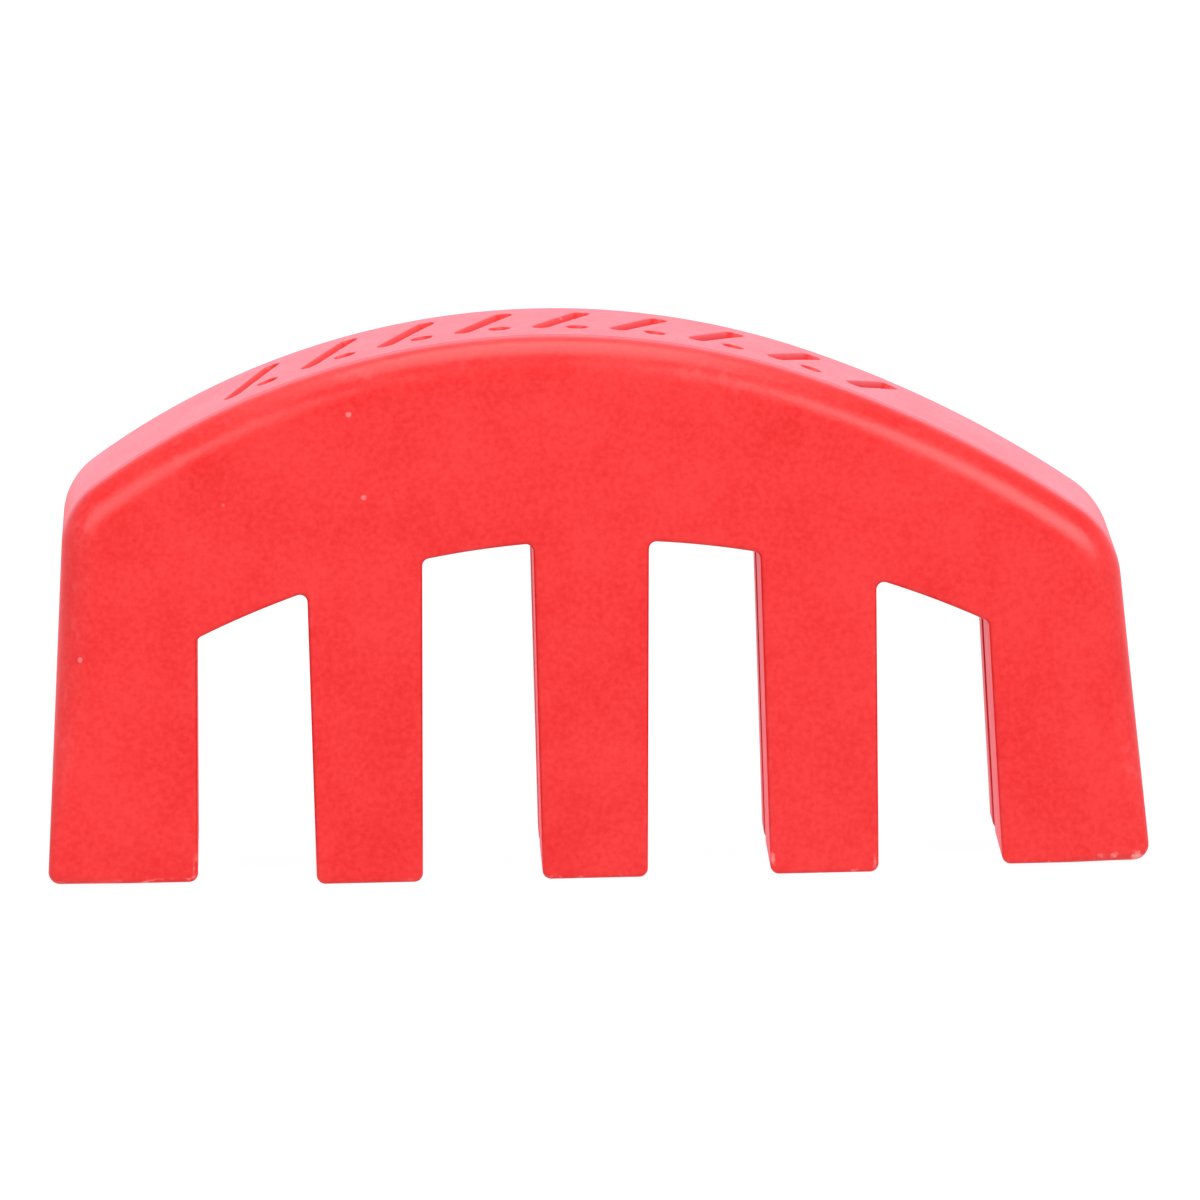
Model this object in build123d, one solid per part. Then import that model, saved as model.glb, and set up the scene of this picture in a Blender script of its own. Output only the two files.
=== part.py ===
from build123d import *
import math
import os

# Violin practice mute: a rubber comb that is pushed down over the bridge.
# Millimetres. +X runs along the comb towards the high string, +Y from the front
# (thick prongs) to the back (thin clip legs), +Z up.
# Origin: middle of the rest plane, halfway between the front and back faces.

# Overall
DEPTH = 13.5                # front face to back face
FRONT_Y = -DEPTH / 2
BACK_Y = DEPTH / 2
FOOT_HALF_WIDTH = 27.69     # flank at the rest plane
LEFT_DRAFT_DEG = 3.6        # the flanks lean in going up, the right one more
RIGHT_DRAFT_DEG = 4.9
OUTER_FOOT_LIFT = 0.25      # the two outer prongs stop short of the rest plane

# Crown: an arc centred left of the middle, so that the low-string side is higher,
# running tangent into a flatter arc down to the right shoulder
CROWN_RADIUS = 39.4
CROWN_CENTRE_X = -2.4
CROWN_APEX_Z = 27.3
FLAT_ARC_RADIUS = 58.0
FLAT_ARC_START_X = 10.8
LEFT_SHOULDER_RADIUS = 3.7
RIGHT_SHOULDER_RADIUS = 4.5
EDGE_RADIUS = 1.9           # front and back edges of the crown and flanks

# String notches: their tops lie on one arc that follows the top of a bridge.
# Each is a little wider at its mouth, and the outer prongs splay slightly.
STRING_PITCH = 11.34
NOTCH_MIDDLE_X = -0.12
NOTCH_TOP_WIDTH = 5.55
NOTCH_MOUTHS = [            # mouth width, and its middle relative to the notch top's
    {"width": 5.95, "shift": -0.04},
    {"width": 6.0, "shift": -0.08},
    {"width": 6.15, "shift": -0.06},
    {"width": 6.22, "shift": 0.22},
]
NOTCH_ARC_RADIUS = 45.6
NOTCH_ARC_APEX_Z = 17.12
NOTCH_TOP_RADIUS = 0.5
FOOT_RADIUS = 0.4           # all round the bottom of each prong
PRONG_EDGE_RADIUS = 0.25    # notch edges on the front and back faces

# Bridge slot, lengthwise between the front prongs and the clip legs
LEG_THICKNESS = 3.3
SLOT_WIDTH = 2.5
SLOT_END_Z = 11.8           # past the ends of the arc the slot top runs level
SLOT_BACK_Y = BACK_Y - LEG_THICKNESS
SLOT_FRONT_Y = SLOT_BACK_Y - SLOT_WIDTH

# Clip legs: the top of each is a half cylinder in a matching seat under the crown.
# A bending leg acts like a stiff one that turns at 0.83 of its length from the tip.
PIVOT_FRACTION = 0.83
PIVOT_Y = BACK_Y - LEG_THICKNESS / 2
SEAT_CLEARANCE = 0.04
SEAT_OVERRUN = 0.35         # the seat is cut this far past the prong's sides

# Grip marks pressed into the crown: leaning round-ended strokes, and a dot between
# the front ends of each two
MARK_PITCH = 3.9
MARK_DEPTH = 0.3
STROKE_LENGTH = 5.8
STROKE_WIDTH = 0.7
STROKE_TURN_DEG = 66        # from the comb's length towards its back
STROKE_Y = 0.6
STROKE_FIRST_X = -16.9
STROKE_COUNT = 9
DOT_DIAMETER = 0.9
DOT_Y = -1.8
DOT_OFFSET_X = 0.77         # from the middle of the stroke on its left

TINY = 0.01                 # tolerance when edges are picked by place

# Lengths that only need to be large enough to cut right through
BELOW = 2.0
REACH = 60.0

NOTCH_COUNT = len(NOTCH_MOUTHS)
NOTCH_CENTRES = [
    NOTCH_MIDDLE_X + STRING_PITCH * (i - (NOTCH_COUNT - 1) / 2) for i in range(NOTCH_COUNT)
]


def slab(sketch, y_front, y_back):
    """Solid between two y planes from a sketch drawn in (x, z)."""
    return extrude(Plane.XZ.offset(-y_back) * sketch, amount=y_back - y_front)


def block(x_low, x_high, y_low, y_high, z_low, z_high):
    box = Box(x_high - x_low, y_high - y_low, z_high - z_low)
    return Pos((x_low + x_high) / 2, (y_low + y_high) / 2, (z_low + z_high) / 2) * box


def disc(x, z, radius):
    return Pos(x, z) * Circle(radius)


def notch_arc_z(x):
    """Height of the notch tops and of the slot top at x."""
    drop = NOTCH_ARC_RADIUS - math.sqrt(NOTCH_ARC_RADIUS ** 2 - (x - NOTCH_MIDDLE_X) ** 2)
    return NOTCH_ARC_APEX_Z - drop


def notch_disc():
    return disc(NOTCH_MIDDLE_X, NOTCH_ARC_APEX_Z - NOTCH_ARC_RADIUS, NOTCH_ARC_RADIUS)


def notch_walls_x(index, z):
    """Left and right wall of a notch at height z; straight from the mouth to the top."""
    mouth = NOTCH_MOUTHS[index]
    rise = z / notch_arc_z(NOTCH_CENTRES[index])
    half_width = (mouth["width"] + (NOTCH_TOP_WIDTH - mouth["width"]) * rise) / 2
    middle = NOTCH_CENTRES[index] + mouth["shift"] * (1 - rise)
    return middle - half_width, middle + half_width


def crown_circle(x):
    """Centre x, centre z and radius of the crown's arc above x."""
    centre_x = CROWN_CENTRE_X
    centre_z = CROWN_APEX_Z - CROWN_RADIUS
    if x < FLAT_ARC_START_X:
        return centre_x, centre_z, CROWN_RADIUS
    lean = math.asin((FLAT_ARC_START_X - CROWN_CENTRE_X) / CROWN_RADIUS)
    step = FLAT_ARC_RADIUS - CROWN_RADIUS
    return centre_x - step * math.sin(lean), centre_z - step * math.cos(lean), FLAT_ARC_RADIUS


def crown_outline():
    """Region under the crown: one disc to the left of the join, a flatter one to its right."""
    half_plane = Rectangle(2 * REACH, 4 * REACH)
    left = Pos(FLAT_ARC_START_X - REACH, 0) * half_plane
    right = Pos(FLAT_ARC_START_X + REACH, 0) * half_plane
    return (disc(*crown_circle(-REACH)) & left) + (disc(*crown_circle(REACH)) & right)


def outline():
    """Front view without notches: leaning flanks under the crown."""
    left_top_x = -FOOT_HALF_WIDTH + REACH * math.tan(math.radians(LEFT_DRAFT_DEG))
    right_top_x = FOOT_HALF_WIDTH - REACH * math.tan(math.radians(RIGHT_DRAFT_DEG))
    sides = make_face(Polyline(
        (-FOOT_HALF_WIDTH, 0),
        (FOOT_HALF_WIDTH, 0),
        (right_top_x, REACH),
        (left_top_x, REACH),
        close=True,
    ))
    shape = sides & crown_outline()
    shoulders = [v for v in shape.vertices() if v.Y > TINY and abs(v.X) > FOOT_HALF_WIDTH / 2]
    left, right = sorted(shoulders, key=lambda vertex: vertex.X)
    shape = fillet(left, LEFT_SHOULDER_RADIUS)
    right = shape.vertices().sort_by_distance((right.X, right.Y))[0]
    return fillet(right, RIGHT_SHOULDER_RADIUS)


def notch_outline(index):
    """Front view of one notch, from below the feet to its rounded top corners."""
    low_left, low_right = notch_walls_x(index, -BELOW)
    high_left, high_right = notch_walls_x(index, REACH / 2)
    walls = make_face(Polyline(
        (low_left, -BELOW),
        (low_right, -BELOW),
        (high_right, REACH / 2),
        (high_left, REACH / 2),
        close=True,
    ))
    shape = walls & notch_disc()
    corners = shape.vertices().sort_by(Axis.Y)[2:]
    return fillet(corners, NOTCH_TOP_RADIUS)


def rim_edges(body):
    """Front and back edges of the crown and flanks."""
    return [
        edge
        for edge in body.edges()
        if abs(abs(edge.center().Y) - DEPTH / 2) < TINY and edge.center().Z > TINY
    ]


def foot_edges(body):
    """Edges round the bottom of every prong."""
    return [edge for edge in body.edges() if edge.bounding_box().max.Z < OUTER_FOOT_LIFT + TINY]


def notch_edges(body):
    """Edges where the notches meet the front and back faces."""
    return [
        edge
        for edge in body.edges()
        if abs(abs(edge.center().Y) - DEPTH / 2) < TINY
        and abs(edge.center().X) < NOTCH_CENTRES[-1] + NOTCH_TOP_WIDTH
        and edge.bounding_box().max.Z > OUTER_FOOT_LIFT + TINY
        and edge.center().Z < NOTCH_ARC_APEX_Z + TINY
    ]


def mark(x, y, shape):
    """Cutter for one mark: a flat shape pressed into the crown above x, y."""
    centre_x, centre_z, radius = crown_circle(x)
    lean = math.asin((x - centre_x) / radius)
    surface = Plane(
        origin=(x, y, centre_z + radius * math.cos(lean)),
        x_dir=(math.cos(lean), 0, -math.sin(lean)),
        z_dir=(math.sin(lean), 0, math.cos(lean)),
    )
    return extrude(surface * shape, amount=MARK_DEPTH, both=True)


def marks():
    """Cutters for all the grip marks."""
    stroke = Rot(Z=STROKE_TURN_DEG) * SlotOverall(STROKE_LENGTH, STROKE_WIDTH)
    dot = Circle(DOT_DIAMETER / 2)
    cutters = []
    for i in range(STROKE_COUNT):
        x = STROKE_FIRST_X + i * MARK_PITCH
        cutters.append(mark(x, STROKE_Y, stroke))
        if i < STROKE_COUNT - 1:
            cutters.append(mark(x + DOT_OFFSET_X, DOT_Y, dot))
    return cutters


def moulding():
    """The whole comb before the bridge slot is cut."""
    body = slab(outline(), FRONT_Y, BACK_Y)
    body = fillet(rim_edges(body), EDGE_RADIUS)
    outer_prong_x = NOTCH_CENTRES[-1]
    for x_low, x_high in ((-REACH, -outer_prong_x), (outer_prong_x, REACH)):
        body -= block(x_low, x_high, -REACH, REACH, -BELOW, OUTER_FOOT_LIFT)
    for index in range(NOTCH_COUNT):
        body -= slab(notch_outline(index), -REACH, REACH)
    body = fillet(foot_edges(body), FOOT_RADIUS)
    body = fillet(notch_edges(body), PRONG_EDGE_RADIUS)
    for cutter in marks():
        body -= cutter
    return body


def bridge_slot():
    """Cutter for the slot: arched top in the middle, level top at the ends."""
    level = make_face(Polyline(
        (-REACH, -BELOW),
        (REACH, -BELOW),
        (REACH, SLOT_END_Z),
        (-REACH, SLOT_END_Z),
        close=True,
    ))
    return slab(level + notch_disc(), SLOT_FRONT_Y, SLOT_BACK_Y)


def prong_span(index):
    """x range of prong 0 to 4 between its notch walls, past them by the seat overrun."""
    x_low = -REACH
    x_high = REACH
    if index > 0:
        x_low = notch_walls_x(index - 1, SLOT_END_Z)[1] - SEAT_OVERRUN
    if index < NOTCH_COUNT:
        x_high = notch_walls_x(index, SLOT_END_Z)[0] + SEAT_OVERRUN
    return x_low, x_high


def pivot_z(index):
    """Height of a clip leg's axis, from the lowest slot top over its width."""
    slot_top = min(notch_arc_z(x) for x in prong_span(index) if abs(x) < NOTCH_ARC_RADIUS)
    if index in (0, NOTCH_COUNT):
        slot_top = SLOT_END_Z
    return PIVOT_FRACTION * slot_top


def leg_space(index, root_radius):
    """The room of one clip leg: everything behind the slot below a round-topped root."""
    x_low, x_high = prong_span(index)
    axis_z = pivot_z(index)
    straight = block(x_low, x_high, SLOT_BACK_Y, REACH, -BELOW, axis_z)
    root = Pos((x_low + x_high) / 2, PIVOT_Y, axis_z) * Rot(Y=90) * Cylinder(root_radius, x_high - x_low)
    return straight + root


def clip_leg(whole, index):
    """One thin leg behind the slot, topped by its half-cylinder root."""
    return whole & leg_space(index, LEG_THICKNESS / 2)


def comb_body(whole):
    """Crown and thick front prongs, with the slot and the leg roots' seats cut out."""
    body = whole - bridge_slot()
    for index in range(NOTCH_COUNT + 1):
        body -= leg_space(index, LEG_THICKNESS / 2 + SEAT_CLEARANCE)
    return body


def main():
    os.makedirs("parts", exist_ok=True)
    whole = moulding()
    nodes = {"comb_body": comb_body(whole)}
    for index in range(NOTCH_COUNT + 1):
        nodes[f"clip_leg_{index + 1}"] = clip_leg(whole, index)
        print(f"clip_leg_{index + 1} axis: y {PIVOT_Y:.3f}, z {pivot_z(index):.3f}")
    for name, solid in nodes.items():
        solid.label = name
        export_step(solid, f"parts/{name}.step")


main()
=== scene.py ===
"""Violin practice mute: one red rubber moulding with five thin legs that flex.

The frame's rigid parts are replaced by a seamless skin. The crown and the thick front
prongs are one mesh. Each thin leg behind the slot is a mesh that meets it exactly.
Shapes are worked out in millimetres and turned into metres at the end.
"""
import math

import bmesh
import bpy
import numpy as np
from mathutils import Matrix, Vector
from mathutils.geometry import delaunay_2d_cdt


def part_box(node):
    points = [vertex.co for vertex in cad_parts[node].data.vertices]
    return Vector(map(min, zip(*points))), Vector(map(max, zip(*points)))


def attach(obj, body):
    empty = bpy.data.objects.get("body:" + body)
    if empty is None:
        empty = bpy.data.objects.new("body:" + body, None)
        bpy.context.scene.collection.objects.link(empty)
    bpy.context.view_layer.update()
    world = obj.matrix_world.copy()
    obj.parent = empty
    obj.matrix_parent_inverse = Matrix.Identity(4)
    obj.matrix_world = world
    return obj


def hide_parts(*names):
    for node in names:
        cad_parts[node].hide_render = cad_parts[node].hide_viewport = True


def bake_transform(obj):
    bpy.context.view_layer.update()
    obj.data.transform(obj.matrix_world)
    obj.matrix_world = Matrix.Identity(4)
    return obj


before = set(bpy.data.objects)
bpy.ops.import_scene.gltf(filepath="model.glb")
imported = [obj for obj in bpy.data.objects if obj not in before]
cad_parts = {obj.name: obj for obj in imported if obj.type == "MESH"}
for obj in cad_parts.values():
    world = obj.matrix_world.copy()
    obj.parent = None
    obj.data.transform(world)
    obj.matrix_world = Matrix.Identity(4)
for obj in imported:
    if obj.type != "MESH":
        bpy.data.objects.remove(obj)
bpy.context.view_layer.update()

MM = 0.001


def cad_box_mm(node):
    low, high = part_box(node)
    return np.array(low) / MM, np.array(high) / MM


# ---------------------------------------------------------------------------
# Sizes taken from the frame
# ---------------------------------------------------------------------------
BODY_LOW, BODY_HIGH = cad_box_mm("comb_body")
FRONT_Y = BODY_LOW[1]
BACK_Y = BODY_HIGH[1]
CROWN_APEX_Z = BODY_HIGH[2]
SLOT_BACK_Y = cad_box_mm("clip_leg_3")[0][1]
OUTER_FOOT_LIFT = cad_box_mm("clip_leg_1")[0][2]

# ---------------------------------------------------------------------------
# Shape, in millimetres: as in the CAD model, but for the small roundings of notches and feet
# ---------------------------------------------------------------------------
FOOT_HALF_WIDTH = 27.69
SLOT_WIDTH = 2.5
SLOT_FRONT_Y = SLOT_BACK_Y - SLOT_WIDTH
SLOT_END_Z = 11.8
LEFT_DRAFT = math.radians(3.6)
RIGHT_DRAFT = math.radians(4.9)
CROWN_RADIUS = 39.4
CROWN_CENTRE = np.array([-2.4, CROWN_APEX_Z - CROWN_RADIUS])
FLAT_ARC_RADIUS = 58.0
FLAT_ARC_START_X = 10.8
LEFT_SHOULDER_RADIUS = 3.7
RIGHT_SHOULDER_RADIUS = 4.5
EDGE_RADIUS = 1.9
STRING_PITCH = 11.34
NOTCH_MIDDLE_X = -0.12
NOTCH_TOP_WIDTH = 5.55
NOTCH_MOUTHS = [
    {"width": 5.95, "shift": -0.04},
    {"width": 6.0, "shift": -0.08},
    {"width": 6.15, "shift": -0.06},
    {"width": 6.22, "shift": 0.22},
]
NOTCH_ARC_RADIUS = 45.6
NOTCH_ARC_APEX_Z = 17.12
NOTCH_ARC_CENTRE = np.array([NOTCH_MIDDLE_X, NOTCH_ARC_APEX_Z - NOTCH_ARC_RADIUS])
NOTCH_TOP_RADIUS = 0.38
FOOT_RADIUS = 0.45
LEFT_FOOT_RADIUS = 0.6      # the outer corner of each outer foot
RIGHT_FOOT_RADIUS = 0.8
PRONG_EDGE_RADIUS = 0.28    # notch and foot edges on the front and back faces
LEFT_EDGE_RADIUS = 0.5      # the same at the outer foot corners
RIGHT_EDGE_RADIUS = 0.65
SLOT_EDGE_RADIUS = 0.2      # prong and leg edges along the slot
SLOT_EDGE_FADE = 1.2        # length over which that rounding fades out at the slot's top
FLANK_REACH = 3.0           # points nearer a flank than this, and above the slot, belong to it
FLANK_TAPER_Z = 1.0         # below this height a flank's edges have their least rounding
OUTER_FOOT_REACH = 7.0      # takes in most of an outer foot
FOOT_EDGE_FADE = 4.0        # length over which an outer foot's wider rounding fades inwards
CORNER_SLACK = 0.05         # takes in the last point of an outer foot's corner
MARK_PITCH = 3.9
MARK_DEPTH = 0.3
MARK_WALL = 0.2             # width of a mark's sloping wall
STROKE_LENGTH = 5.8
STROKE_WIDTH = 0.7
STROKE_TURN = math.radians(66)
STROKE_Y = 0.6
STROKE_FIRST_X = -16.9
STROKE_COUNT = 9
DOT_WIDTH = 0.9
DOT_Y = -1.8
DOT_OFFSET_X = 0.77         # from the middle of the stroke on its left
PARTING_DEPTH = 0.02        # the mould's parting line along the crown's front edge
PARTING_WIDTH = 0.14
PARTING_Y = FRONT_Y + EDGE_RADIUS + PARTING_WIDTH * 0.75    # its middle, just past the rounding

# Mesh fineness
FINE_START_X = -20.0        # left of all the marks
FINE_STEP = 0.12            # along the crown where the marks are
ROW_FINE_STEP = 0.1         # across the crown where the marks are
ROW_COARSE_STEP = 0.5
ROW_GAP = 0.05              # least gap between a rounding's rows and the flat ones beside them
SLOT_ROW_GAP = 0.1          # from the slot's front wall to the first row of its roof
PARTING_ROWS = 5
PARTING_ROW_STEP = PARTING_WIDTH / 4
PARTING_ROW_GAP = 0.3       # from the parting line's last row to the next
COARSE_STEP = 0.6           # along the other arcs and the feet
LEG_STEP = 0.5              # between level loops up the legs
FLANK_STEP = 1.5
SHOULDER_SEGMENTS = 14
CORNER_SEGMENTS = 8
RIM_SEGMENTS = 10
SLOT_RIM_SEGMENTS = 3
SUPPORT = 0.06              # narrow flat band that keeps the large faces flat
MERGE_DISTANCE = 0.0008
SEAM_DROP = 0.1             # from the top of a leg's lower side to its seam
LEG_FIRST_LEVEL = 1.0       # from a foot to the first level loop
NEAR = 0.01                 # slack when picking out points and faces by their place
CUT_TOLERANCE = 1e-7        # metres
FILL_TOLERANCE = 1e-6       # millimetres
FILL_INSIDE = 1             # delaunay_2d_cdt's output type for triangles inside the loop
SHARP_ANGLE = math.radians(50)

NOTCH_COUNT = len(NOTCH_MOUTHS)
NOTCH_CENTRES = [
    NOTCH_MIDDLE_X + STRING_PITCH * (i - (NOTCH_COUNT - 1) / 2) for i in range(NOTCH_COUNT)
]


# ---------------------------------------------------------------------------
# Plane geometry in (x, z): an upward line is a point and a unit direction
# ---------------------------------------------------------------------------
def unit(vector):
    return np.array(vector, float) / np.linalg.norm(vector)


def notch_arc_z(x):
    return NOTCH_ARC_CENTRE[1] + math.sqrt(NOTCH_ARC_RADIUS ** 2 - (x - NOTCH_MIDDLE_X) ** 2)


def notch_wall(index, side):
    """A point and an upward unit direction of a notch's left (-1) or right (+1) wall."""
    mouth = NOTCH_MOUTHS[index]
    top_z = notch_arc_z(NOTCH_CENTRES[index])
    low_x = NOTCH_CENTRES[index] + mouth["shift"] + side * mouth["width"] / 2
    high_x = NOTCH_CENTRES[index] + side * NOTCH_TOP_WIDTH / 2
    return np.array([low_x, 0.0]), unit([high_x - low_x, top_z])


def flank(side):
    """A point and an upward unit direction of the left (-1) or right (+1) flank."""
    draft = LEFT_DRAFT if side < 0 else RIGHT_DRAFT
    return np.array([side * FOOT_HALF_WIDTH, 0.0]), np.array([-side * math.sin(draft), math.cos(draft)])


def crown_z(x):
    return CROWN_CENTRE[1] + math.sqrt(CROWN_RADIUS ** 2 - (x - CROWN_CENTRE[0]) ** 2)


def flat_arc_centre():
    """Centre of the flatter right-hand arc, which leaves the crown's main arc smoothly."""
    toward = unit([FLAT_ARC_START_X - CROWN_CENTRE[0], crown_z(FLAT_ARC_START_X) - CROWN_CENTRE[1]])
    return CROWN_CENTRE - (FLAT_ARC_RADIUS - CROWN_RADIUS) * toward


def line_arc_round(point, direction, normal, centre, arc_radius, radius):
    """Rounding between an upward line and the inside of an arc: centre and two touch points."""
    start = point + normal * radius - centre
    along = start @ direction
    rise = -along + math.sqrt(along ** 2 - start @ start + (arc_radius - radius) ** 2)
    middle = point + normal * radius + direction * rise
    on_line = middle - normal * radius
    on_arc = centre + (middle - centre) * arc_radius / (arc_radius - radius)
    return middle, on_line, on_arc


def line_floor_round(point, direction, normal, floor_z, radius):
    """Rounding between an upward line and a level floor."""
    rise = (floor_z + radius - point[1] - normal[1] * radius) / direction[1]
    middle = point + normal * radius + direction * rise
    return middle, middle - normal * radius, np.array([middle[0], floor_z])


def arc_between(centre, start, end, count):
    """Points on the shorter arc about centre, both ends included."""
    first = math.atan2(*(start - centre)[::-1])
    turn = math.atan2(*(end - centre)[::-1]) - first
    turn = (turn + math.pi) % (2 * math.pi) - math.pi
    radius = np.linalg.norm(start - centre)
    angles = first + turn * np.linspace(0, 1, count + 1)
    return centre + radius * np.stack([np.cos(angles), np.sin(angles)], axis=1)


def steps_between(start, end, step):
    return max(1, round(np.linalg.norm(end - start) / step))


def arc_by_step(centre, start, end, step):
    return arc_between(centre, start, end, steps_between(start, end, step))


def line_between(start, end, step):
    return start + (end - start) * np.linspace(0, 1, steps_between(start, end, step) + 1)[:, None]


def join_points(pieces):
    """One run from several that share their end points."""
    return np.concatenate([pieces[0]] + [piece[1:] for piece in pieces[1:]])


def smooth(t):
    """An even step from 0 to 1 as t goes from 0 to 1, held outside."""
    t = np.clip(t, 0, 1)
    return t * t * (3 - 2 * t)


# ---------------------------------------------------------------------------
# Outline of the moulding, clockwise seen from the front, starting on the left flank
# at the height of the slot's end. Each run is an array of points; the crown and the
# notch tops reach from front to back, the prongs are divided by the slot.
# ---------------------------------------------------------------------------
def crown_run():
    """Left flank above the slot, left shoulder, crown, right shoulder, right flank."""
    left_point, left_up = flank(-1)
    right_point, right_up = flank(1)
    left_in = np.array([left_up[1], -left_up[0]])
    right_in = np.array([-right_up[1], right_up[0]])
    left_mid, left_low, left_high = line_arc_round(
        left_point, left_up, left_in, CROWN_CENTRE, CROWN_RADIUS, LEFT_SHOULDER_RADIUS)
    right_mid, right_low, right_high = line_arc_round(
        right_point, right_up, right_in, flat_arc_centre(), FLAT_ARC_RADIUS, RIGHT_SHOULDER_RADIUS)
    left_start = left_point + left_up * SLOT_END_Z / left_up[1]
    right_end = right_point + right_up * SLOT_END_Z / right_up[1]

    join = np.array([FLAT_ARC_START_X, crown_z(FLAT_ARC_START_X)])
    fine_start = np.array([FINE_START_X, crown_z(FINE_START_X)])
    return join_points([
        line_between(left_start, left_low, FLANK_STEP),
        arc_between(left_mid, left_low, left_high, SHOULDER_SEGMENTS),
        arc_by_step(CROWN_CENTRE, left_high, fine_start, COARSE_STEP),
        arc_by_step(CROWN_CENTRE, fine_start, join, FINE_STEP),
        arc_by_step(flat_arc_centre(), join, right_high, FINE_STEP),
        arc_between(right_mid, right_high, right_low, SHOULDER_SEGMENTS),
        line_between(right_low, right_end, FLANK_STEP),
    ])


def foot_level(prong):
    return OUTER_FOOT_LIFT if prong in (0, NOTCH_COUNT) else 0.0


def wall_side(index, side):
    """Foot touch points and notch corner touch points of one notch wall."""
    point, up = notch_wall(index, side)
    into_notch = np.array([-side * up[1], side * up[0]])
    foot_z = foot_level(index if side < 0 else index + 1)
    foot = line_floor_round(point, up, -into_notch, foot_z, FOOT_RADIUS)
    top = line_arc_round(
        point, up, into_notch, NOTCH_ARC_CENTRE, NOTCH_ARC_RADIUS, NOTCH_TOP_RADIUS)
    return foot, top


def notch_wall_up(index, side):
    """From a foot's touch point up a notch wall and round the corner to the notch top."""
    (foot_mid, foot_wall, foot_floor), (top_mid, top_wall, top_arc) = wall_side(index, side)
    return join_points([
        arc_between(foot_mid, foot_floor, foot_wall, CORNER_SEGMENTS),
        np.array([foot_wall, top_wall]),
        arc_between(top_mid, top_wall, top_arc, CORNER_SEGMENTS),
    ])


def flank_up(side):
    """From the outer foot's touch point up the flank to the end of the slot."""
    point, up = flank(side)
    inwards = np.array([-side * up[1], side * up[0]])
    radius = LEFT_FOOT_RADIUS if side < 0 else RIGHT_FOOT_RADIUS
    foot_mid, foot_wall, foot_floor = line_floor_round(point, up, inwards, OUTER_FOOT_LIFT, radius)
    top = point + up * SLOT_END_Z / up[1]
    return join_points([
        arc_between(foot_mid, foot_floor, foot_wall, CORNER_SEGMENTS),
        line_between(foot_wall, top, FLANK_STEP),
    ])


def prong_run(prong):
    """Right side down, along the foot and left side up, for prong 0 (left) to 4."""
    right = flank_up(1) if prong == NOTCH_COUNT else notch_wall_up(prong, -1)
    left = flank_up(-1) if prong == 0 else notch_wall_up(prong - 1, 1)
    return join_points([right[::-1], line_between(right[0], left[0], COARSE_STEP), left])


def roof_run(index):
    """Top of one notch, right to left."""
    right = wall_side(index, 1)[1][2]
    left = wall_side(index, -1)[1][2]
    return arc_by_step(NOTCH_ARC_CENTRE, right, left, COARSE_STEP)


def slot_roof_run(prong):
    """Top of the slot over one prong, left to right, between the same end points."""
    run = prong_run(prong)
    right, left = run[0], run[-1]
    half_chord = math.sqrt(NOTCH_ARC_RADIUS ** 2 - (SLOT_END_Z - NOTCH_ARC_CENTRE[1]) ** 2)
    if prong == 0:
        bend = np.array([NOTCH_MIDDLE_X - half_chord, SLOT_END_Z])
        arc = arc_by_step(NOTCH_ARC_CENTRE, bend, right, COARSE_STEP)
        return join_points([line_between(left, bend, COARSE_STEP), arc])
    if prong == NOTCH_COUNT:
        bend = np.array([NOTCH_MIDDLE_X + half_chord, SLOT_END_Z])
        arc = arc_by_step(NOTCH_ARC_CENTRE, left, bend, COARSE_STEP)
        return join_points([arc, line_between(bend, right, COARSE_STEP)])
    return arc_by_step(NOTCH_ARC_CENTRE, left, right, COARSE_STEP)


def outward_normals(points):
    """Normals of a closed clockwise outline, from the neighbours of each point."""
    ahead = np.roll(points, -1, axis=0) - points
    behind = points - np.roll(points, 1, axis=0)
    ahead /= np.linalg.norm(ahead, axis=1)[:, None]
    behind /= np.linalg.norm(behind, axis=1)[:, None]
    tangent = ahead + behind
    tangent /= np.linalg.norm(tangent, axis=1)[:, None]
    return np.stack([-tangent[:, 1], tangent[:, 0]], axis=1)


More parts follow.
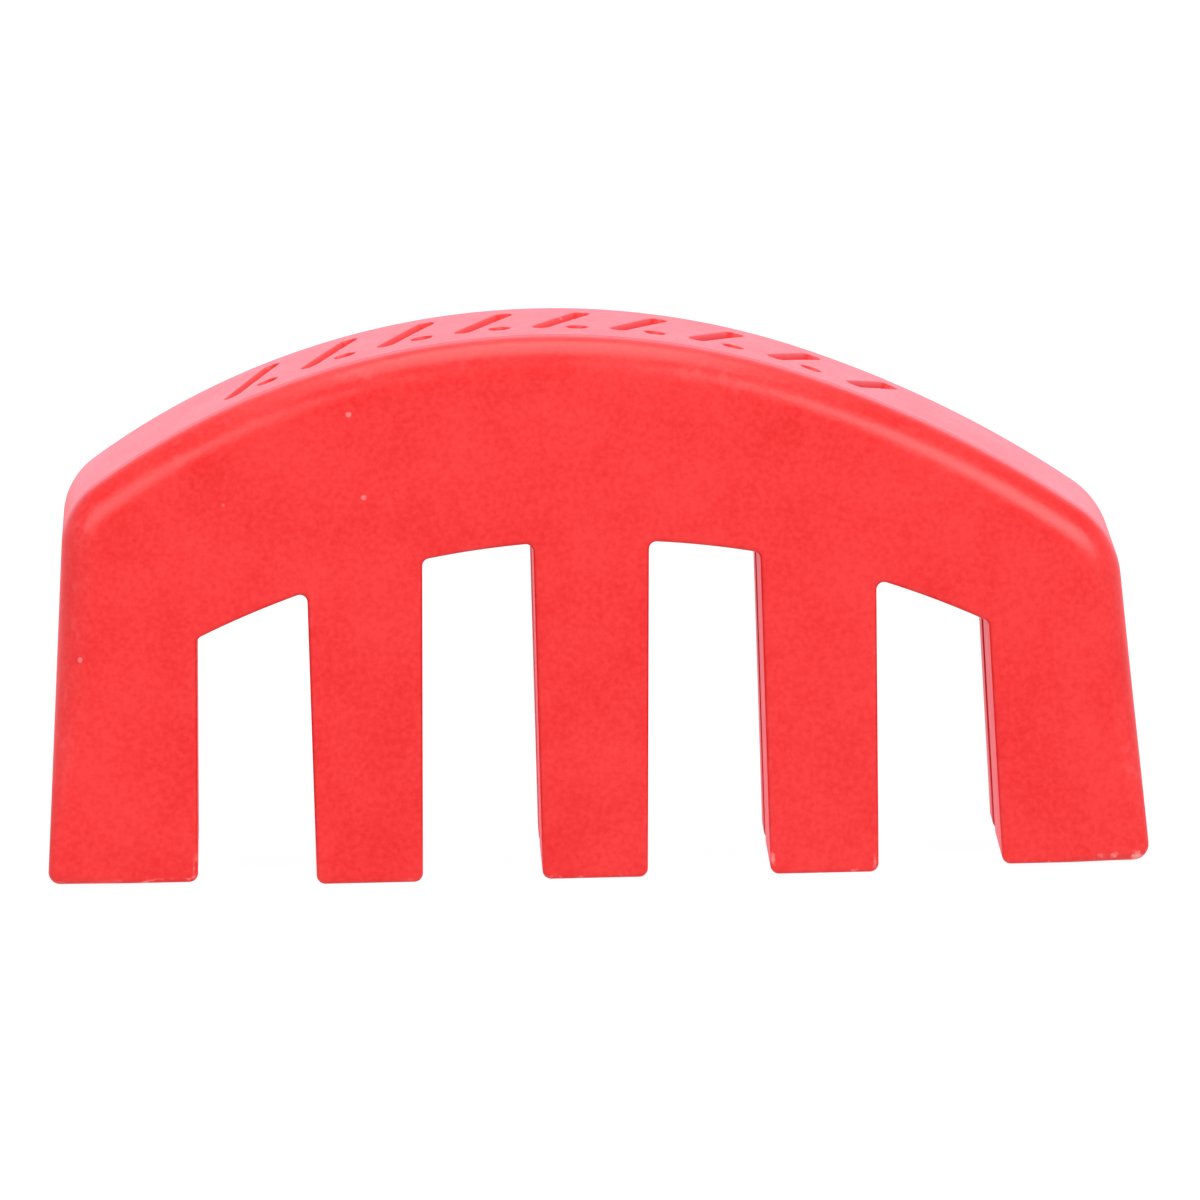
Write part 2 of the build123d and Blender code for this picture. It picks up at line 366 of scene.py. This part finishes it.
class Outline:
    """The closed outline with, for each point, its normal, rounding radii and prong."""

    def __init__(self):
        points = []
        prongs = []
        # The point on each side of a prong where it runs free: below the notch corner, or at
        # the slot's end on a flank.
        self.leg_tops = {}
        runs = [(crown_run(), -1)]
        for prong in range(NOTCH_COUNT, -1, -1):
            runs.append((prong_run(prong), prong))
            if prong > 0:
                runs.append((roof_run(prong - 1), -1))
        for run, prong in runs:
            if prong >= 0:
                right = 0 if prong == NOTCH_COUNT else CORNER_SEGMENTS
                left = len(run) - 1 if prong == 0 else len(run) - 1 - CORNER_SEGMENTS
                self.leg_tops[prong] = (len(prongs) + right, len(prongs) + left)
            points.append(run[:-1])
            prongs += [prong] * (len(run) - 1)
        self.points = np.concatenate(points)
        self.prong = np.array(prongs)
        self.leg_tops = {prong: np.array(ends) % len(prongs) for prong, ends in self.leg_tops.items()}
        # A strip is named by its first point: prong -1 marks a strip that goes right through.
        previous = np.roll(self.prong, 1)
        self.on_prong = np.where((self.prong >= 0) & (previous == self.prong), self.prong, -1)
        self.normals = outward_normals(self.points)
        self.rim = self.rim_radii()
        self.slot = self.slot_radii()

    def rim_radii(self):
        """Rounding of the front and back edges: wide on the crown and flanks."""
        x, z = self.points.T
        draft = np.where(x < 0, LEFT_DRAFT, RIGHT_DRAFT)
        foot_radius = np.where(x < 0, LEFT_FOOT_RADIUS, RIGHT_FOOT_RADIUS)
        edge_radius = np.where(x < 0, LEFT_EDGE_RADIUS, RIGHT_EDGE_RADIUS)
        to_flank = FOOT_HALF_WIDTH - np.tan(draft) * z - np.abs(x)
        on_leg = self.prong >= 0
        upper = ~on_leg & (z > NOTCH_ARC_APEX_Z) | (to_flank < FLANK_REACH) & (z > SLOT_END_Z - NEAR)
        low_flank = on_leg & (to_flank < foot_radius + CORNER_SLACK)
        on_foot = on_leg & ~low_flank & (to_flank < OUTER_FOOT_REACH) & (z < OUTER_FOOT_LIFT + NEAR)
        up_flank = smooth((z - FLANK_TAPER_Z) / (SLOT_END_Z - FLANK_TAPER_Z))
        flank_radii = edge_radius + (EDGE_RADIUS - edge_radius) * up_flank
        fade = smooth(1 - (to_flank - foot_radius) / FOOT_EDGE_FADE)
        foot_radii = PRONG_EDGE_RADIUS + (edge_radius - PRONG_EDGE_RADIUS) * fade
        radii = np.full(len(x), PRONG_EDGE_RADIUS)
        radii[upper] = EDGE_RADIUS
        radii[low_flank] = flank_radii[low_flank]
        radii[on_foot] = foot_radii[on_foot]
        return radii

    def slot_radii(self):
        """Rounding of the edges along the slot, fading out where a prong meets the roof."""
        radii = np.zeros(len(self.points))
        corner = NOTCH_TOP_RADIUS * math.pi / 2
        for prong in range(NOTCH_COUNT + 1):
            mine = np.flatnonzero(self.on_prong == prong)
            around = self.points[np.concatenate([[mine[0] - 1], mine, [(mine[-1] + 1) % len(radii)]])]
            steps = np.linalg.norm(np.diff(around, axis=0), axis=1)
            from_end = np.minimum(np.cumsum(steps)[:-1], np.cumsum(steps[::-1])[::-1][1:])
            radii[mine] = SLOT_EDGE_RADIUS * smooth((from_end - corner) / SLOT_EDGE_FADE)
        return radii


# ---------------------------------------------------------------------------
# Rows run round the outline, from the front face to the back face
# ---------------------------------------------------------------------------
def mark_band():
    """Low and high y of the part of the crown that the marks take up."""
    reach = STROKE_LENGTH / 2 * math.sin(STROKE_TURN) + MARK_WALL
    return STROKE_Y - reach, STROKE_Y + reach


def flat_rows(low, high):
    """Rows on the flat between low and high: coarse, but ROW_FINE_STEP apart among the marks."""
    band_low, band_high = mark_band()
    rows = [y for y in np.arange(low, high, ROW_COARSE_STEP) if not band_low < y < band_high]
    rows += list(np.arange(max(band_low, low), min(band_high, high), ROW_FINE_STEP))
    return [("flat", y) for y in sorted(set(np.round(rows, 4)))]


def edge_rows(face_y, inwards, which, segments):
    """Rows over a rounded edge, from the face inwards: its narrow flat band, then its round."""
    angles = np.linspace(0, math.pi / 2, segments + 1)
    rounds = [("round", face_y, inwards, which, angle) for angle in angles]
    return [("support", face_y, inwards, which), *rounds]


class Rows:
    """Where each row lies: y and inset as functions of a point's two radii.

    A flat row is ("flat", y). A row over an edge is ("support" or "round", the face's y, the
    direction inwards, which radius), and a round one's angle comes last.
    """

    def __init__(self):
        parting = [FRONT_Y + EDGE_RADIUS + (k + 1) * PARTING_ROW_STEP for k in range(PARTING_ROWS)]
        self.rows = edge_rows(FRONT_Y, 1, "rim", RIM_SEGMENTS)
        self.rows += [("flat", y) for y in parting]
        self.rows += flat_rows(parting[-1] + PARTING_ROW_GAP, SLOT_FRONT_Y - SLOT_EDGE_RADIUS - ROW_GAP)
        self.rows += edge_rows(SLOT_FRONT_Y, -1, "slot", SLOT_RIM_SEGMENTS)[::-1]
        self.front_end = len(self.rows) - 1
        self.rows += flat_rows(SLOT_FRONT_Y + SLOT_ROW_GAP, SLOT_BACK_Y - ROW_GAP)
        self.back_start = len(self.rows)
        self.rows += edge_rows(SLOT_BACK_Y, 1, "slot", SLOT_RIM_SEGMENTS)
        self.rows += flat_rows(SLOT_BACK_Y + SLOT_EDGE_RADIUS + ROW_GAP, BACK_Y - EDGE_RADIUS - ROW_GAP)
        self.rows += edge_rows(BACK_Y, -1, "rim", RIM_SEGMENTS)[::-1]

    def place(self, row, outline):
        """y and inset of every outline point on this row."""
        kind = row[0]
        if kind == "flat":
            return np.full(len(outline.points), row[1]), np.zeros(len(outline.points))
        face_y, inwards, which = row[1:4]
        radius = outline.rim if which == "rim" else outline.slot
        if kind == "support":
            support = np.where(radius > 0, SUPPORT, 0.0)
            return np.full(len(radius), face_y), radius + support
        angle = row[4]
        y = face_y + inwards * radius * (1 - math.cos(angle))
        return y, radius * (1 - math.sin(angle))


def stroke_depth(x, y, centre_x, centre_y, length, width, turn):
    """Depth at (x, y) of one round-ended groove pressed into the crown."""
    lean = math.cos(math.asin((centre_x - CROWN_CENTRE[0]) / CROWN_RADIUS))
    across_x = (x - centre_x) / lean
    across_y = y - centre_y
    along = across_x * math.cos(turn) + across_y * math.sin(turn)
    aside = across_y * math.cos(turn) - across_x * math.sin(turn)
    past_end = np.maximum(np.abs(along) - (length - width) / 2, 0)
    inside = width / 2 - np.hypot(past_end, aside)
    return MARK_DEPTH * smooth(inside / MARK_WALL + 0.5)


def crown_dents(x, y):
    """Depth of the grip marks and of the parting line at points of the crown."""
    depth = np.zeros_like(x)
    for i in range(STROKE_COUNT):
        stroke_x = STROKE_FIRST_X + i * MARK_PITCH
        stroke = stroke_depth(x, y, stroke_x, STROKE_Y, STROKE_LENGTH, STROKE_WIDTH, STROKE_TURN)
        depth = np.maximum(depth, stroke)
        if i < STROKE_COUNT - 1:
            dot_x = stroke_x + DOT_OFFSET_X
            depth = np.maximum(depth, stroke_depth(x, y, dot_x, DOT_Y, DOT_WIDTH, DOT_WIDTH, 0))
    from_line = np.abs(y - PARTING_Y) / PARTING_WIDTH
    return depth + PARTING_DEPTH * smooth(1 - 2 * from_line)


# ---------------------------------------------------------------------------
# The whole skin as one mesh, then cut into the comb and its five legs
# ---------------------------------------------------------------------------
def fill_flat(bm, loop, facing_back, cuts=()):
    """Triangles across a loop of vertices in one y plane; cuts are forced edges."""
    places = [Vector((vert.co.x, vert.co.z)) / MM for vert in loop]
    cuts = [(int(start), int(end)) for start, end in cuts]
    result = delaunay_2d_cdt(places, cuts, [range(len(loop))], FILL_INSIDE, FILL_TOLERANCE)
    triangles, sources = result[2:4]
    for triangle in triangles:
        corners = [loop[sources[k][0]] for k in triangle]
        bm.faces.new(corners[::-1] if facing_back else corners)


def skin_mesh(outline, rows):
    """Everything but the slot, as a bmesh in metres, with its grid of vertices.

    Two layers guide the material: wear is 1 halfway round an edge, and pressed is 1 at the
    bottom of a mark, where the colour is darkened as painted shade.
    """
    bm = bmesh.new()
    wear = bm.verts.layers.float.new("wear")
    pressed = bm.verts.layers.float.new("pressed")
    on_crown = (outline.prong < 0) & (outline.points[:, 1] > NOTCH_ARC_APEX_Z)
    grid = []
    for row in rows.rows:
        y, inset = rows.place(row, outline)
        dented = on_crown & (row[0] == "flat" or row[3] == "slot")
        dents = np.where(dented, crown_dents(outline.points[:, 0], y), 0)
        place = outline.points - outline.normals * (inset + dents)[:, None]
        line = []
        for (x, z), y_here, dent in zip(place, y, dents):
            vert = bm.verts.new((x * MM, y_here * MM, z * MM))
            vert[pressed] = dent / MARK_DEPTH
            vert[wear] = math.sin(2 * row[4]) if row[0] == "round" else 0
            line.append(vert)
        grid.append(line)
    count = len(outline.points)
    for j in range(len(grid) - 1):
        middle = rows.front_end <= j < rows.back_start
        for i in range(count):
            if middle and outline.prong[i] >= 0:
                continue
            k = (i + 1) % count
            bm.faces.new((grid[j][i], grid[j][k], grid[j + 1][k], grid[j + 1][i]))
    fill_flat(bm, grid[0], facing_back=False)
    fill_flat(bm, grid[-1], facing_back=True, cuts=[tuple(ends) for ends in outline.leg_tops.values()])
    return bm, grid


def add_slot(bm, outline, rows, grid):
    """The slot's roof over each prong, and the prongs' faces along the slot."""
    middle_y = [row[1] for row in rows.rows[rows.front_end:rows.back_start + 1]]
    for prong in range(NOTCH_COUNT + 1):
        mine = np.flatnonzero(outline.prong == prong)
        loop = list(mine) + [(mine[-1] + 1) % len(outline.points)]
        roof = slot_roof_run(prong)
        strips = []
        for x, z in roof:
            strips.append([bm.verts.new((x * MM, y * MM, z * MM)) for y in middle_y])
        for a, b in zip(strips[:-1], strips[1:]):
            for j in range(len(middle_y) - 1):
                bm.faces.new((a[j], a[j + 1], b[j + 1], b[j]))
        front = [grid[rows.front_end][i] for i in loop] + [strip[0] for strip in strips[1:-1]]
        back = [grid[rows.back_start][i] for i in loop] + [strip[-1] for strip in strips[1:-1]]
        fill_flat(bm, front, facing_back=True)
        fill_flat(bm, back, facing_back=False)


def seam_height(outline, prong):
    """Where a leg leaves the comb: just below where both of its sides run free."""
    return outline.points[outline.leg_tops[prong], 1].min() - SEAM_DROP


def leg_faces(bm, prong, seam):
    """One prong's faces behind the slot that reach below the seam, but no notch tops."""
    clear = NOTCH_TOP_WIDTH / 2 - NOTCH_TOP_RADIUS
    low_x = (NOTCH_CENTRES[prong - 1] + clear) * MM if prong > 0 else -math.inf
    high_x = (NOTCH_CENTRES[prong] - clear) * MM if prong < NOTCH_COUNT else math.inf
    low_y = (SLOT_BACK_Y - NEAR) * MM
    found = []
    for face in bm.faces:
        if all(low_x < vert.co.x < high_x and vert.co.y > low_y for vert in face.verts):
            if min(vert.co.z for vert in face.verts) < seam * MM:
                found.append(face)
    return found


def cut_levels(bm, outline, prong):
    """Level loops up a leg, the last one at its seam; returns the leg's faces."""
    seam = seam_height(outline, prong)
    levels = np.arange(foot_level(prong) + LEG_FIRST_LEVEL, seam - LEG_STEP / 2, LEG_STEP)
    faces = leg_faces(bm, prong, seam)
    for z in [*levels, seam]:
        edges = {edge for face in faces for edge in face.edges}
        verts = {vert for face in faces for vert in face.verts}
        cut = bmesh.ops.bisect_plane(
            bm, geom=[*verts, *edges, *faces], dist=CUT_TOLERANCE,
            plane_co=(0, 0, z * MM), plane_no=(0, 0, 1))
        faces = [item for item in cut["geom"] if isinstance(item, bmesh.types.BMFace)]
    return [face for face in faces if max(vert.co.z for vert in face.verts) < (seam + NEAR) * MM]


def piece_object(bm, piece_id, name):
    """One object holding the faces marked with piece_id."""
    part = bm.copy()
    layer = part.faces.layers.int["piece"]
    others = [face for face in part.faces if face[layer] != piece_id]
    bmesh.ops.delete(part, geom=others, context="FACES")
    mesh = bpy.data.meshes.new(name)
    part.to_mesh(mesh)
    part.free()
    mesh.shade_smooth()
    piece = bpy.data.objects.new(name, mesh)
    bpy.context.scene.collection.objects.link(piece)
    return piece


def build_skin():
    """The comb's skin and the five legs' skins."""
    outline = Outline()
    rows = Rows()
    bm, grid = skin_mesh(outline, rows)
    add_slot(bm, outline, rows, grid)
    bmesh.ops.remove_doubles(bm, verts=bm.verts, dist=MERGE_DISTANCE * MM)
    bmesh.ops.dissolve_degenerate(bm, edges=bm.edges, dist=MERGE_DISTANCE * MM)
    unused = [vert for vert in bm.verts if not vert.link_faces]
    bmesh.ops.delete(bm, geom=unused, context="VERTS")
    bmesh.ops.recalc_face_normals(bm, faces=bm.faces)
    layer = bm.faces.layers.int.new("piece")
    for prong in range(NOTCH_COUNT + 1):
        for face in cut_levels(bm, outline, prong):
            face[layer] = prong + 1
    for edge in bm.edges:
        edge.smooth = len(edge.link_faces) != 2 or edge.calc_face_angle() < SHARP_ANGLE
    comb = piece_object(bm, 0, "comb_skin")
    legs = [piece_object(bm, number, f"leg_skin_{number}") for number in range(1, NOTCH_COUNT + 2)]
    seams = [seam_height(outline, prong) for prong in range(NOTCH_COUNT + 1)]
    bm.free()
    return comb, legs, seams


# ---------------------------------------------------------------------------
# Material
# ---------------------------------------------------------------------------
RUBBER_DEEP = (0.63, 0.005, 0.006, 1)
RUBBER_BRIGHT = (0.735, 0.028, 0.028, 1)
RUBBER_WORN = (0.92, 0.36, 0.36, 1)
RUBBER_IOR = 1.46
SMOOTHEST = 0.30            # roughness where the rubber is deepest in colour
ROUGHEST = 0.36             # roughness where it is brightest
WORN_ROUGHNESS = 0.12       # added where edges are worn
PRESSED_ROUGHNESS = 0.4     # added in the marks
WORN_PALENESS = 0.6         # how far a scuff's colour goes towards RUBBER_WORN
SPECK_PALENESS = 0.35
MARK_PAINTED_SHADE = 0.7     # painted shade: how far the bottom of a mark goes towards RUBBER_DEEP
WORN_HEIGHT = 0.8           # millimetres: edges below this are scuffed
WORN_FADE = 1.0             # millimetres over which the scuffing thins out
WORN_ELSEWHERE = 0.08       # how much of the scuffing is left above that
CLOUD_NOISE = (260, 3)      # each noise's scale per metre and its detail
GRAIN_NOISE = (3800, 4)
SCUFF_NOISE = (1400, 5)
SCUFF_AREA_NOISE = (110, 1)
SPECK_AREA_NOISE = (120, 1)
DIMPLE_NOISE = (700, 2)
TEXTURE_NOISE = (5200, 2)
SPECK_SCALE = 330
MOTTLE_BAND = (0.3, 0.7)    # bands: where a value starts to count and where it counts in full
SCUFF_BAND = (0.54, 0.66)
SCUFF_AREA_BAND = (0.42, 0.54)
SPECK_BAND = (0.03, 0.055)  # distance over which a dot fades out, in its cell's width
SPECK_AREA_BAND = (0.53, 0.55)
ROUGHNESS_BAND = (0.2, 0.8)
CLOUD_WEIGHT = 0.45         # clouds and grain together make up the mottle
GRAIN_WEIGHT = 0.55
DIMPLE_HEIGHT = 0.00002     # bump heights are in metres
TEXTURE_HEIGHT = 0.000006
SPECK_HEIGHT = 0.00003


def node(tree, kind, inputs=None, **settings):
    """A new node with its settings, and values or links for its inputs."""
    made = tree.nodes.new(kind)
    for name, value in settings.items():
        setattr(made, name, value)
    for name, value in (inputs or {}).items():
        if isinstance(value, bpy.types.NodeSocket):
            tree.links.new(value, made.inputs[name])
        else:
            made.inputs[name].default_value = value
    return made


def noise(tree, place, per_metre, detail):
    """Smooth noise about 0.5."""
    made = node(tree, "ShaderNodeTexNoise", {"Vector": place, "Scale": per_metre, "Detail": detail})
    return made.outputs["Fac"]


def spread(tree, value, band, start=0.0, end=1.0):
    """From start to end as value crosses the band, and held there outside."""
    made = node(tree, "ShaderNodeMapRange", {
        "Value": value, "From Min": band[0], "From Max": band[1], "To Min": start, "To Max": end})
    return made.outputs["Result"]


def combine(tree, operation, first, second=0.0):
    return node(tree, "ShaderNodeMath", {0: first, 1: second}, operation=operation).outputs[0]


def product(tree, first, second):
    return combine(tree, "MULTIPLY", first, second)


def blend_colour(tree, amount, first, second):
    """First colour at amount 0, second at 1."""
    made = node(tree, "ShaderNodeMix", data_type="RGBA")
    for identifier, value in (("Factor_Float", amount), ("A_Color", first), ("B_Color", second)):
        socket = next(item for item in made.inputs if item.identifier == identifier)
        if isinstance(value, bpy.types.NodeSocket):
            tree.links.new(value, socket)
        else:
            socket.default_value = value
    return next(item for item in made.outputs if item.identifier == "Result_Color")


def bumped(tree, height, distance, normal=None):
    inputs = {"Height": height, "Distance": distance}
    if normal is not None:
        inputs["Normal"] = normal
    return node(tree, "ShaderNodeBump", inputs).outputs["Normal"]


def attribute(tree, name):
    return node(tree, "ShaderNodeAttribute", attribute_name=name).outputs["Fac"]


def scuffs(tree, place):
    """Patches on the worn edges: many near the feet, hardly any higher up."""
    height = node(tree, "ShaderNodeSeparateXYZ", {"Vector": place}).outputs["Z"]
    fade_band = (WORN_HEIGHT * MM, (WORN_HEIGHT + WORN_FADE) * MM)
    low_down = spread(tree, height, fade_band, 1.0, WORN_ELSEWHERE)
    patches = spread(tree, noise(tree, place, *SCUFF_NOISE), SCUFF_BAND)
    areas = spread(tree, noise(tree, place, *SCUFF_AREA_NOISE), SCUFF_AREA_BAND)
    on_edges = product(tree, attribute(tree, "wear"), low_down)
    return product(tree, on_edges, product(tree, patches, areas))


def specks(tree, place):
    """A few pale dots, scattered in areas."""
    cells = node(tree, "ShaderNodeTexVoronoi", {"Vector": place, "Scale": SPECK_SCALE})
    dots = spread(tree, cells.outputs["Distance"], SPECK_BAND, 1.0, 0.0)
    areas = spread(tree, noise(tree, place, *SPECK_AREA_NOISE), SPECK_AREA_BAND)
    return product(tree, dots, areas)


def rubber():
    """Moulded red rubber: cloudy colour, fine grain, scuffed feet, a few specks, and painted shade in the
    marks.
    """
    material = bpy.data.materials.new("red_rubber")
    material.use_nodes = True
    tree = material.node_tree
    place = node(tree, "ShaderNodeTexCoord").outputs["Object"]
    clouds = spread(tree, noise(tree, place, *CLOUD_NOISE), MOTTLE_BAND, 0.0, CLOUD_WEIGHT)
    grain = spread(tree, noise(tree, place, *GRAIN_NOISE), MOTTLE_BAND, 0.0, GRAIN_WEIGHT)
    mottle = combine(tree, "ADD", clouds, grain)
    worn = scuffs(tree, place)
    speck = specks(tree, place)
    pressed = attribute(tree, "pressed")

    colour = blend_colour(tree, mottle, RUBBER_DEEP, RUBBER_BRIGHT)
    # Painted shade: the marks, and faintly the parting line, darken towards RUBBER_DEEP with their depth.
    colour = blend_colour(tree, product(tree, pressed, MARK_PAINTED_SHADE), colour, RUBBER_DEEP)
    colour = blend_colour(tree, product(tree, worn, WORN_PALENESS), colour, RUBBER_WORN)
    colour = blend_colour(tree, product(tree, speck, SPECK_PALENESS), colour, RUBBER_WORN)

    roughness = spread(tree, mottle, ROUGHNESS_BAND, SMOOTHEST, ROUGHEST)
    roughness = combine(tree, "ADD", roughness, product(tree, worn, WORN_ROUGHNESS))
    roughness = combine(tree, "ADD", roughness, product(tree, pressed, PRESSED_ROUGHNESS))

    normal = bumped(tree, noise(tree, place, *DIMPLE_NOISE), DIMPLE_HEIGHT)
    normal = bumped(tree, noise(tree, place, *TEXTURE_NOISE), TEXTURE_HEIGHT, normal)
    normal = bumped(tree, speck, SPECK_HEIGHT, normal)

    bsdf = tree.nodes["Principled BSDF"]
    for name, value in (("Base Color", colour), ("Roughness", roughness), ("Normal", normal)):
        tree.links.new(value, bsdf.inputs[name])
    bsdf.inputs["IOR"].default_value = RUBBER_IOR
    return material


# ---------------------------------------------------------------------------
# Camera, floor and light
# ---------------------------------------------------------------------------
VIEW_TARGET = np.array([-0.12, 0.0, 14.4])
VIEW_DISTANCE = 800.0               # the camera is in millimetres
VIEW_AZIMUTH = math.radians(-1.08)
VIEW_ELEVATION = math.radians(9.01)
VIEW_ROLL = math.radians(-1.096)
VIEW_SLIDE = (0.54, -1.30)          # right and up
FRAME_WIDTH = 60.51                 # millimetres across the frame at the target
SENSOR = 36.0
CLIP_START = 0.05                   # metres
FLOOR_HALF_SIZE = 2.0               # floor and lights are in metres
FLOOR_GREY = 0.1
FLOOR_GLOW = 0.97
BACKDROP_COLOUR = (1.2, 1.25, 1.5, 1)    # the room is coloured by direction
ROOM_COLOUR = (0.42, 0.42, 0.42, 1)
SIDE_COLOUR = (0.8, 0.76, 0.82, 1)
CEILING_COLOUR = (0.5, 0.5, 0.5, 1)
GROUND_COLOUR = (0.66, 0.6, 0.62, 1)
GROUND_BEHIND_COLOUR = (1.5, 0.57, 0.64, 1)
SIDE_BAND = (0.55, 0.85)            # each fades in over a band of one direction component
BACKDROP_BAND = (0.55, 0.85)
CEILING_BAND = (0.3, 0.85)
GROUND_BAND = (0.04, -0.1)
LIGHT_TARGET = (0.0, 0.0, 0.014)
LIGHTS = [
    {"name": "left", "place": (-0.35, -0.43, 0.29), "size": (0.42, 0.34), "watts": 1.5},
    {"name": "right", "place": (0.35, -0.43, 0.335), "size": (0.42, 0.34), "watts": 2.4},
    {"name": "top", "place": (0.0, 0.04, 0.6), "size": (0.4, 0.54), "watts": 2.05},
]


def add_camera():
    """A long lens aimed at VIEW_TARGET, then rolled and slid in its own plane."""
    az, el, roll = VIEW_AZIMUTH, VIEW_ELEVATION, VIEW_ROLL
    back = Vector((math.sin(az) * math.cos(el), -math.cos(az) * math.cos(el), math.sin(el)))
    level_right = Vector((math.cos(az), math.sin(az), 0))
    level_up = back.cross(level_right)
    right = level_right * math.cos(roll) + level_up * math.sin(roll)
    up = level_up * math.cos(roll) - level_right * math.sin(roll)
    place = Vector(VIEW_TARGET) + back * VIEW_DISTANCE + right * VIEW_SLIDE[0] + up * VIEW_SLIDE[1]
    data = bpy.data.cameras.new("camera")
    data.sensor_width = SENSOR
    data.lens = SENSOR * VIEW_DISTANCE / FRAME_WIDTH
    data.clip_start = CLIP_START
    camera = bpy.data.objects.new("camera", data)
    camera.matrix_world = Matrix.Translation(place * MM) @ Matrix((right, up, back)).transposed().to_4x4()
    bpy.context.scene.collection.objects.link(camera)
    bpy.context.scene.camera = camera


def add_floor():
    """A plain pale floor that glows a little, so that it stays nearly white."""
    half = FLOOR_HALF_SIZE
    corners = [(-half, -half, 0), (half, -half, 0), (half, half, 0), (-half, half, 0)]
    mesh = bpy.data.meshes.new("floor")
    mesh.from_pydata(corners, [], [(0, 1, 2, 3)])
    floor = bpy.data.objects.new("floor", mesh)
    bpy.context.scene.collection.objects.link(floor)
    material = bpy.data.materials.new("floor")
    material.use_nodes = True
    bsdf = material.node_tree.nodes["Principled BSDF"]
    bsdf.inputs["Base Color"].default_value = (FLOOR_GREY, FLOOR_GREY, FLOOR_GREY, 1)
    bsdf.inputs["Specular IOR Level"].default_value = 0
    bsdf.inputs["Roughness"].default_value = 1
    bsdf.inputs["Emission Color"].default_value = (1, 1, 1, 1)
    bsdf.inputs["Emission Strength"].default_value = FLOOR_GLOW
    mesh.materials.append(material)
    floor.visible_glossy = False


def add_light(name, place, size, watts):
    """A rectangular soft light aimed at the object."""
    data = bpy.data.lights.new(name, "AREA")
    data.shape = "RECTANGLE"
    data.size, data.size_y = size
    data.energy = watts
    light = bpy.data.objects.new(name, data)
    light.location = place
    aim = Vector(LIGHT_TARGET) - Vector(place)
    light.rotation_euler = aim.to_track_quat("-Z", "Y").to_euler()
    bpy.context.scene.collection.objects.link(light)


def add_world():
    """A white backdrop behind, pale sides, and dimmer in front, overhead and below.

    The ground behind is pink, as if red rubber lit it: only the walls between the prongs
    mirror it from the front.
    """
    world = bpy.data.worlds.new("studio")
    bpy.context.scene.world = world
    world.use_nodes = True
    tree = world.node_tree
    place = node(tree, "ShaderNodeTexCoord").outputs["Generated"]
    direction = node(tree, "ShaderNodeSeparateXYZ", {"Vector": place})
    sideways = spread(tree, combine(tree, "ABSOLUTE", direction.outputs["X"]), SIDE_BAND)
    behind = spread(tree, direction.outputs["Y"], BACKDROP_BAND)
    up = spread(tree, direction.outputs["Z"], CEILING_BAND)
    down = spread(tree, direction.outputs["Z"], GROUND_BAND)
    colour = blend_colour(tree, sideways, ROOM_COLOUR, SIDE_COLOUR)
    colour = blend_colour(tree, behind, colour, BACKDROP_COLOUR)
    colour = blend_colour(tree, up, colour, CEILING_COLOUR)
    ground = blend_colour(tree, behind, GROUND_COLOUR, GROUND_BEHIND_COLOUR)
    colour = blend_colour(tree, down, colour, ground)
    tree.links.new(colour, tree.nodes["Background"].inputs["Color"])


# ---------------------------------------------------------------------------
# Putting it together
# ---------------------------------------------------------------------------
def main():
    """The comb rides on the comb's body; each leg is left where it was built."""
    comb, legs, seams = build_skin()
    material = rubber()
    for piece in [comb, *legs]:
        piece.data.materials.append(material)
    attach(comb, "comb")
    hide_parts("comb_body")
    for number, (leg, seam) in enumerate(zip(legs, seams), start=1):
        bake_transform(leg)
        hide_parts(f"clip_leg_{number}")
    add_camera()
    add_floor()
    add_world()
    for light in LIGHTS:
        add_light(**light)
    bpy.context.scene.view_settings.view_transform = "Standard"


main()
